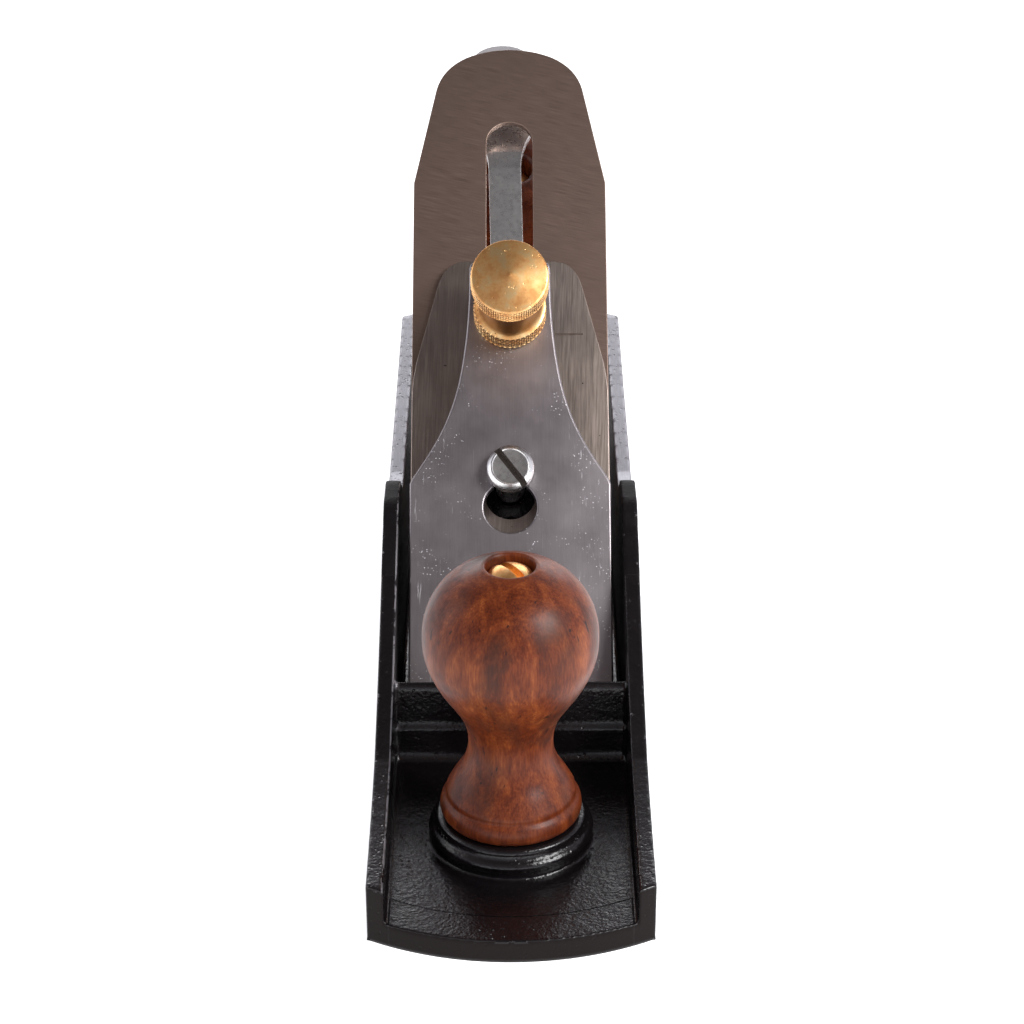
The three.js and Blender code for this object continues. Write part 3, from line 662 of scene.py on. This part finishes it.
def settle(obj, body, slot, *nodes):
    """Gives a finished piece the material of its slot, puts it on its body, and hides the CAD nodes it
    stands for.
    """
    obj.data.materials.clear()
    obj.data.materials.append(MATERIALS[slot])
    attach(obj, body)
    if nodes:
        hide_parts(*nodes)
    return obj


# ---------------------------------------------------------------- the casting

def mark(obj, name, value_at):
    """Stores a number from 0 to 1 on every point, from its place in millimetres and its normal."""
    field = obj.data.attributes.new(name, "FLOAT", "POINT")
    normals = obj.data.vertex_normals
    values = [value_at(v.co / MM, normals[k].vector) for k, v in enumerate(obj.data.vertices)]
    field.data.foreach_set("value", values)


def ground_faces(place, normal):
    """The sides and the sole are ground bare."""
    side = abs(normal.x) > 0.9 and abs(place.x) > 31
    sole = normal.z < -0.9 and place.z < 1
    return float(side or sole)


def bare_tops(place, normal):
    """From the crowns back, the tops of the cheeks are rubbed bright."""
    top = abs(place.x) > 27.2 and place.z > 40 and place.y > CROWN_Y
    return max(0.0, min(1.0, (normal.z - 0.45) * 3)) if top else 0.0


def outer_edges(place, normal):
    """Rounded upper edges, where paint chips first."""
    return min(1.0, 2.2 * abs(normal.x) * max(normal.z, 0)) if place.z > 7 else 0.0


def end_faces(place, normal):
    """The upright faces of the toe and the heel."""
    return float(abs(normal.y) > 0.6 and abs(normal.z) < 0.5 and abs(place.y) > 110)


def inner_faces(place, normal):
    """The cheeks' inner faces beside the irons, and the crowns, where the paint is dull."""
    beside = abs(normal.x) > 0.7 and abs(place.x) < 28.4 and place.y > -45
    crown = abs(place.x) > 27 and place.z > 38 and -25 < place.y < CROWN_Y
    return float(beside or crown)


def square_sole_edge(obj):
    """Brings the points round the sole's rim back onto its outline, so that the ground edge is crisp."""
    reach = 0.7
    centre = LENGTH / 2 - TOE_RADIUS
    for vertex in obj.data.vertices:
        x, y, z = vertex.co / MM
        if z > 0.4:
            continue
        vertex.co.z = 0
        if abs(x) > HALF_WIDTH - reach:
            vertex.co.x = math.copysign(HALF_WIDTH, x) * MM
        if abs(y) > centre:
            toward = math.copysign(centre, y)
            away = math.hypot(x, y - toward)
            if away > TOE_RADIUS - reach:
                vertex.co.x *= TOE_RADIUS / away
                vertex.co.y = (toward + (y - toward) * TOE_RADIUS / away) * MM


def casting():
    """The plane's body, with the marks that its material reads."""
    obj = cast("body_casting", "plane_body", 0.5, 3, 180000, square_sole_edge)
    low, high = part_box("body_casting")
    keep_inside(obj, low, high)
    mark(obj, "dull", inner_faces)
    mark(obj, "ground", ground_faces)
    mark(obj, "bare", bare_tops)
    mark(obj, "edge", outer_edges)
    mark(obj, "end", end_faces)
    return settle(obj, "casting", "japanned_iron", "body_casting")


def knob_seat():
    """The raised ring that the front knob stands on, with a lip, a waist and a rounded top."""
    profile = [
        (15, 6), (18.1, 6), (18.1, 7.2), (18.45, 7.9), (18.8, 8.5), (18.85, 9.0), (18.6, 9.6), (18.0, 10.1),
        (17.4, 10.5), (17.15, 11.0), (17.2, 11.5), (17.15, 12.0), (16.85, 12.4), (16.3, 12.6), (15, 12.6),
    ]
    ring = revolve("knob_seat_ring", profile, 128, at(0, KNOB_Y, 0))
    return settle(finish_mesh(ring, 60), "casting", "japanned_iron")


# ---------------------------------------------------------------- wooden handles

def knob_profile():
    """The right-hand side of the turned knob, from the bottom bead up to the lip of its recess."""
    bore, lip = KNOB["bore"], KNOB["recess"]
    points = [(bore, KNOB["bottom"]), (14.9, KNOB["bottom"])]
    points += [(15.5, 13.1), (15.95, 13.7), (16.15, 14.6), (16.1, 15.7), (15.85, 16.6), (15.4, 17.3)]
    points += [(14.95, 17.65), (14.75, 18.05), (14.85, 18.5), (14.7, 19.3)]
    swell = [
        (14.7, 19.3), (13.1, 22.2), (11.1, 25.4), (9.9, 28.8), (9.6, 32), (10.0, 35.2),
        (11.3, 38.8), (13.5, 42.4), (16.0, 46.2), (18.0, 50.2), (19.25, 54.2), (19.6, 58),
        (19.3, 61.8), (18.0, 66.0), (15.6, 69.9), (12.6, 72.7), (9.4, 74.6), (6.6, 75.75),
    ]
    points += smooth_line(swell, 5)[1:]
    points += [(lip + 0.55, KNOB["top"] - 0.02), (lip + 0.15, 75.8), (lip, 75.3)]
    points += [(lip, KNOB["recess_floor"]), (bore, KNOB["recess_floor"])]
    return points


def front_knob():
    """The turned front knob."""
    obj = revolve("knob_turned", knob_profile(), 128, at(0, KNOB_Y, 0))
    return settle(finish_mesh(obj, 50), "casting", "handle_wood", "front_knob")


def slotted_nut(name, node, body, place, low, high, radius):
    """A domed brass nut with a screwdriver slot."""
    dome = [(radius * math.sin(a), high - 1.9 * (1 - math.cos(a)) / (1 - math.cos(1.35)))
            for a in (0.0, 0.25, 0.5, 0.75, 1.0, 1.2, 1.35)]
    side = [(0, low), (radius - 0.4, low), (radius, low + 0.4), (radius, dome[-1][1] - 0.5)]
    profile = side + [(r * radius / dome[-1][0] * 0.985, z) for r, z in reversed(dome)]
    obj = revolve(name, profile, 64, BENCH)
    carve(obj, slot_cutter(radius * 2.6, 1.9, high - 1.9, high + 1), SLOT_TURN)
    obj.data.transform(place)
    return settle(finish_mesh(obj, 35), body, "brass", node)


def rear_handle():
    """The rear handle, rounded all over as if shaped by hand."""
    obj = cast("tote", "tote_shaped", 0.9, 14)
    low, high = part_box("tote")
    keep_inside(obj, low, high)
    return settle(obj, "casting", "handle_wood", "tote")


# ---------------------------------------------------------------- irons

def cutting_iron():
    """The blade, with its ground edge as a piece of its own."""
    right = [(IRON_HALF, 4.6), (IRON_HALF, 155), (19.6, 182.6)]
    right += bend((19.6, 182.6), (18.0, 189.0), (11.5, 192.2), 8)
    right += bend((11.5, 192.2), (6.2, 194.5), (0, 194.55), 8)
    obj = plate("iron_blade", mirrored(right), [iron_hole()], -2, 0, 0.22, BED)
    settle(iron_edge(), "irons", "iron_steel")
    return settle(finish_plate(obj, 50), "irons", "iron_steel", "cutting_iron")


def iron_edge():
    """The ground edge of the iron: a wedge from the blade's lower end down to the cutting edge."""
    half = IRON_HALF - 0.02
    edge, back = 0.16, 4.8
    top = [(-half, edge, -0.01), (half, edge, -0.01), (half, back, -0.01), (-half, back, -0.01)]
    tip = edge + 0.12
    under = [(-half, tip, -0.07), (half, tip, -0.07), (half, back, -1.98), (-half, back, -1.98)]
    faces = [(0, 1, 2, 3), (4, 7, 6, 5), (0, 3, 7, 4), (1, 5, 6, 2), (0, 4, 5, 1), (3, 2, 6, 7)]
    return mesh_from("iron_edge", top + under, faces, BED)


def iron_hole():
    """The iron's slot with its round opening at the lower end, as one loop."""
    r, wide = 6.15, 9.5
    join = math.degrees(math.asin(r / wide))
    top = arc(0, 172.8 - r, r, 0, 180, 20)
    low = arc(0, 32, wide, 90 + join, 450 - join, 40)
    return top + low


def cap_iron():
    """The cap iron, with one plain scribed line to the right of the lever cap."""
    obj = crisp("cap_iron", "cap_iron_plate", 0.3)
    scribe = box((9.5, 110.55, 2.05), (18.8, 111.05, 3), "scribe")
    carve(obj, scribe, place=BED)
    finish_plate(obj, 40)
    return settle(obj, "irons", "cap_iron_steel", "cap_iron")


# ---------------------------------------------------------------- lever cap and its screws

def lever_cap():
    """The lever cap, with a keyhole for the clamp screw and a bore for the thumb screw."""
    right = [(CAP_HALF, -2.4), (CAP_HALF, 57.6)]
    right += bend((CAP_HALF, 57.6), (24.6, 59.2), (23.6, 60.4), 4)
    flare = [
        (23.6, 60.4), (19.9, 66.3), (17.0, 71.8), (14.8, 77.4), (13.1, 83.4),
        (11.9, 90.0), (11.0, 97.4), (10.45, 105.8), (NECK, CAP_TOP - 1.6),
    ]
    right += smooth_line(flare, 4)[1:]
    right += bend((NECK, CAP_TOP - 1.6), (NECK, CAP_TOP - 0.1), (NECK - 1.4, CAP_TOP - 0.05), 4)
    holes = [keyhole_outline(), arc(0, THUMB["y"], THUMB_BORE, 0, 360, 40)[:-1]]
    obj = plate("lever_cap_plate", mirrored(right), holes, 0.02, 3.5, 0.55, CAP)
    return settle(finish_plate(obj, 50), "lever_cap", "lever_cap_steel", "lever_cap")


def keyhole_outline():
    """A round hole that a screw head passes through, and a narrow one above it."""
    big, narrow, centre, top = 6.6, 4.1, 51.7, 61.2
    join = math.degrees(math.asin(narrow / big))
    return arc(0, top, narrow, 0, 180, 14) + arc(0, centre, big, 90 + join, 450 - join, 40)


def slot_shade_and_face_tone(place, top):
    """Painted shade down in the screw's slot, and a little darker on the middle of its flat face."""
    radius = math.hypot(place.x, place.y)
    if abs(place.z - top + CAP_SLOT_DEPTH) < 0.1:
        return 1.0
    return 0.25 if abs(place.z - top) < 0.1 and radius < 4.5 else 0.0


def lever_cap_screw():
    """The cheese-headed screw that the lever cap clamps under, with its slot."""
    seat = CAP_SCREW_SEAT
    face = seat + 3.6
    profile = [
        (0, -8.8), (2.7, -8.8), (3, -8.4), (3, 0.5), (3.6, 0.5), (3.6, seat), (5.5, seat),
        (5.8, seat + 0.3), (5.85, seat + 0.7), (5.85, seat + 2.7), (5.7, seat + 3.0),
        (4.9, seat + 3.75), (4.6, seat + 3.8), (4.4, seat + 3.62), (4.2, face), (0, face),
    ]
    obj = revolve("cap_screw_head", profile, 72)
    carve(obj, slot_cutter(14, 1.7, face - CAP_SLOT_DEPTH, seat + 5), SLOT_TURN)
    # the recess mark carries painted shade in the slot and a slightly darker middle of the face
    mark(obj, "recess", lambda place, normal: slot_shade_and_face_tone(place, face))
    obj.data.transform(BED @ at(0, CAP_SCREW_Y, 0))
    return settle(finish_mesh(obj, 28), "frog", "polished_steel", "lever_cap_screw")


def thumb_knurl(radius, height, angle):
    """Crossed grooves on the disc's rim and on the lower ring."""
    turns = angle / math.tau
    if 26.95 < height < 32.6:
        return radius - 0.5 * (1 - diamonds(turns * 48, height * 0.62))
    if 4.9 < height < 10.5:
        return radius - 0.5 * (1 - diamonds(turns * 44, height * 0.5))
    return radius


def tarnish_and_painted_shade(place, normal):
    """Painted shade in the thumb screw's hollow waist, deepest at its narrowest, and over the lower ring
    under the disc; tarnish and painted shade down in the grooves of its grips.
    """
    radius = math.hypot(place.x, place.y)
    if 26.95 < place.z < 32.6:
        return min(1.0, max(0.0, (THUMB["disc"] - 0.12 - radius) * 3.2))
    if 4.9 < place.z < 10.5:
        # painted shade over the whole lower ring, which lies under the disc, deeper in its grooves
        return min(1.0, max(0.35, (THUMB["ring"] - 0.1 - radius) * 3.2))
    # painted shade in the hollow waist, darker the narrower it gets
    return max(0.0, min(1.0, (8.6 - radius) * 1.2)) if 10.5 < place.z < 26.7 else 0.0


def thumb_screw():
    """The thumb screw: shank, knurled ring, hollow waist and knurled disc with a shallow cone on top."""
    seat, foot, top = THUMB["seat"], THUMB["foot"], THUMB["top"]
    ring, disc = THUMB["ring"], THUMB["disc"]
    profile = [(0, foot), (2.8, foot), (3.2, foot + 0.4), (3.2, seat)]
    profile += [(ring - 0.9, seat), (ring - 0.4, seat + 0.2), (ring - 0.05, seat + 0.6)]
    profile += [(ring, seat + 0.8 + 5.3 * k / 14) for k in range(15)]
    profile += [(ring - 0.3, seat + 6.45), (ring - 1.0, seat + 6.75)]
    waist = [
        (ring - 1.0, 10.95), (7.1, 12.4), (6.1, 14.8), (5.7, 18.5), (5.9, 22), (6.9, 25.2), (8.4, 26.4),
    ]
    profile += smooth_line(waist, 3)[1:]
    profile += [(disc - 0.7, 26.55), (disc - 0.1, 26.85)]
    profile += [(disc, 27.0 + 5.5 * k / 26) for k in range(27)]
    profile += [(disc - 0.15, top - 0.3), (disc - 0.45, top - 0.05), (disc - 0.7, top)]
    profile += [(4.4, top + 0.66), (0.25, top + 1.27), (0, top + 1.28)]
    obj = revolve("thumb_screw_turned", profile, THUMB_SEGMENTS, BENCH, thumb_knurl)
    # marks painted shade in the waist and under the disc, with tarnish and shade in the grooves
    mark(obj, "tarnish_and_painted_shade", tarnish_and_painted_shade)
    obj.data.transform(CAP @ at(0, THUMB["y"], 0))
    return settle(finish_mesh(obj, 40), "thumb_screw", "brass", "thumb_screw")


# ---------------------------------------------------------------- frog and adjusters

def nut_knurl(radius, height, angle):
    """Straight grooves across the depth nut's rim."""
    if radius < 15.9:
        return radius
    return radius - 0.35 * (1 - ridge(angle * 90 / math.tau))


def depth_nut():
    """The depth nut: a front flange, the groove for the yoke, and a knurled dished wheel."""
    low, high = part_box("depth_nut")
    bore = 4.05
    profile = [
        (bore, 0.3), (bore + 0.3, 0), (10.1, 0), (10.5, 0.4), (10.5, 1.8), (10.1, 2.2), (6.9, 2.2),
        (6.5, 2.6), (6.5, 10.1), (6.8, 10.4), (14.8, 10.4), (15.6, 10.7), (15.95, 11.3),
    ]
    profile += [(15.95, 11.5 + k * 1.9) for k in range(5)]
    profile += [
        (15.6, 19.7), (15.0, 20.2), (12.9, 20.3), (12.4, 20.0), (11.6, 17.7), (11.1, 17.5), (7.4, 17.5),
        (7.0, 17.9), (7.0, 19.9), (6.6, 20.3), (bore + 0.3, 20.3), (bore, 20.0),
    ]
    centre_z = (low.z + high.z) / 2 / MM
    place = at(0, low.y / MM, centre_z) @ Matrix.Rotation(-math.pi / 2, 4, "X")
    obj = revolve("depth_nut_turned", profile, 180, place, nut_knurl)
    return settle(finish_mesh(obj, 35), "depth_adjuster", "brass", "depth_nut")


FITTINGS = [
    ("frog_adjusting_clip", "frog", "blued_steel"),
    ("clip_screw", "frog", "polished_steel"),
    ("depth_stud", "frog", "polished_steel"),
    ("yoke_pin", "frog", "polished_steel"),
    ("lateral_rivet", "frog", "polished_steel"),
    ("yoke_lever", "yoke", "blued_steel"),
    ("lateral_disc", "lateral_roller", "polished_steel"),
    ("frog_adjusting_screw", "frog_adjuster", "polished_steel"),
    ("cap_iron_screw", "iron_carrier", "polished_steel"),
    ("tote_toe_screw", "casting", "brass"),
    ("frog_screw_left", "casting", "polished_steel"),
    ("frog_screw_right", "casting", "polished_steel"),
    ("frog_washer_left", "casting", "polished_steel"),
    ("frog_washer_right", "casting", "polished_steel"),
    ("knob_rod", "casting", "polished_steel"),
    ("tote_rod", "casting", "polished_steel"),
    ("lateral_lever", "lateral", "polished_steel"),
]


def frog_and_fittings():
    """The frog as a casting, and the small parts as the CAD model has them, with rounded edges."""
    settle(cast("frog", "frog_casting", 0.5, 3), "frog", "japanned_iron", "frog")
    for node, body, slot in FITTINGS:
        settle(crisp(node, node + "_finished", 0.25), body, slot, node)


def handle_nuts():
    """The brass nuts in the tops of the knob and the rear handle, each in line with its rod."""
    slotted_nut("knob_nut_domed", "knob_nut", "casting", at(0, KNOB_Y, 0), 64.3, 75.6, 5.05)
    foot, top = Vector((0, 226, 8)), Vector((0, 211, 108))
    lean = math.atan2(foot.y - top.y, top.z - foot.z)
    place = at(0, foot.y - LENGTH / 2, foot.z) @ Matrix.Rotation(lean, 4, "X")
    slotted_nut("tote_nut_domed", "tote_nut", "casting", place, 88.4, 98.1, 5.55)


# ---------------------------------------------------------------- studio

def floor():
    """A white sweep that glows a little, far wider than the plane."""
    corners = [(-2500, -2500, 0), (2500, -2500, 0), (2500, 4500, 0), (-2500, 4500, 0)]
    sweep = mesh_from("studio_floor", corners, [(0, 1, 2, 3)])
    pale = Shader("pale_floor", 0.85)
    pale.colour(pale.ramp(pale.noise(60, 2), [(0.3, (0.86, 0.86, 0.87)), (0.7, (0.9, 0.9, 0.9))]))
    pale.surface.inputs["Emission Color"].default_value = (1, 1, 1, 1)
    pale.surface.inputs["Emission Strength"].default_value = 0.75
    sweep.data.materials.append(pale.material)


def sky():
    """A pale horizon under a dim ceiling, a little brighter behind the plane than in front of it."""
    world = bpy.data.worlds.new("studio")
    bpy.context.scene.world = world
    world.use_nodes = True
    nodes = world.node_tree.nodes
    links = world.node_tree.links
    coords = nodes.new("ShaderNodeTexCoord")
    split = nodes.new("ShaderNodeSeparateXYZ")
    lean = nodes.new("ShaderNodeMath")
    lean.operation = "MULTIPLY_ADD"
    lean.inputs[1].default_value = -0.15
    ramp = nodes.new("ShaderNodeValToRGB")
    links.new(coords.outputs["Generated"], split.inputs["Vector"])
    links.new(split.outputs["Y"], lean.inputs[0])
    links.new(split.outputs["Z"], lean.inputs[2])
    links.new(lean.outputs["Value"], ramp.inputs["Fac"])
    links.new(ramp.outputs["Color"], nodes["Background"].inputs["Color"])
    stops = ramp.color_ramp.elements
    stops[0].position, stops[0].color = 0.28, (0.88, 0.87, 0.97, 1)
    stops[1].position, stops[1].color = 1.0, (0.10, 0.095, 0.10, 1)
    middle = stops.new(0.55)
    middle.color = (0.42, 0.40, 0.43, 1)
    high = stops.new(0.88)
    high.color = (0.225, 0.205, 0.205, 1)
    nodes["Background"].inputs["Strength"].default_value = 0.95


def studio():
    """The floor, the sky and three soft boxes. Places and sizes here are in metres."""
    settings = bpy.context.scene.view_settings
    settings.view_transform = "Standard"
    settings.look = "None"
    floor()
    sky()
    light("right_box", (0.72, -0.50, 0.72), (0, -0.03, 0.05), (0.5, 0.5), 11)
    light("left_box", (-1.1, 0.1, 0.55), (0, 0, 0.05), (0.4, 0.8), 1.5)
    light("back_box", (0, 1.5, 0.62), (0, 0, 0.08), (1.8, 0.6), 12)


def light(name, place, target, size, power):
    """A soft box that faces its target; power is in watts."""
    data = bpy.data.lights.new(name, "AREA")
    data.shape = "RECTANGLE"
    data.size, data.size_y = size
    data.energy = power
    obj = bpy.data.objects.new(name, data)
    obj.location = place
    obj.rotation_euler = (Vector(target) - Vector(place)).to_track_quat("-Z", "Y").to_euler()
    bpy.context.scene.collection.objects.link(obj)


def camera():
    """Seen from the front and above, as far off as a portrait lens needs."""
    down, roll = 27, -0.15
    data = bpy.data.cameras.new("camera")
    data.sensor_width = 36
    data.lens = 87.9
    obj = bpy.data.objects.new("camera", data)
    bpy.context.scene.collection.objects.link(obj)
    obj.matrix_world = (Matrix.Translation((0.0004, -0.5635, 0.333))
                        @ Matrix.Rotation(math.radians(90 - down), 4, "X")
                        @ Matrix.Rotation(math.radians(roll), 4, "Z"))
    bpy.context.scene.camera = obj


camera()
studio()
casting()
knob_seat()
front_knob()
rear_handle()
handle_nuts()
cutting_iron()
cap_iron()
lever_cap()
lever_cap_screw()
thumb_screw()
depth_nut()
frog_and_fittings()
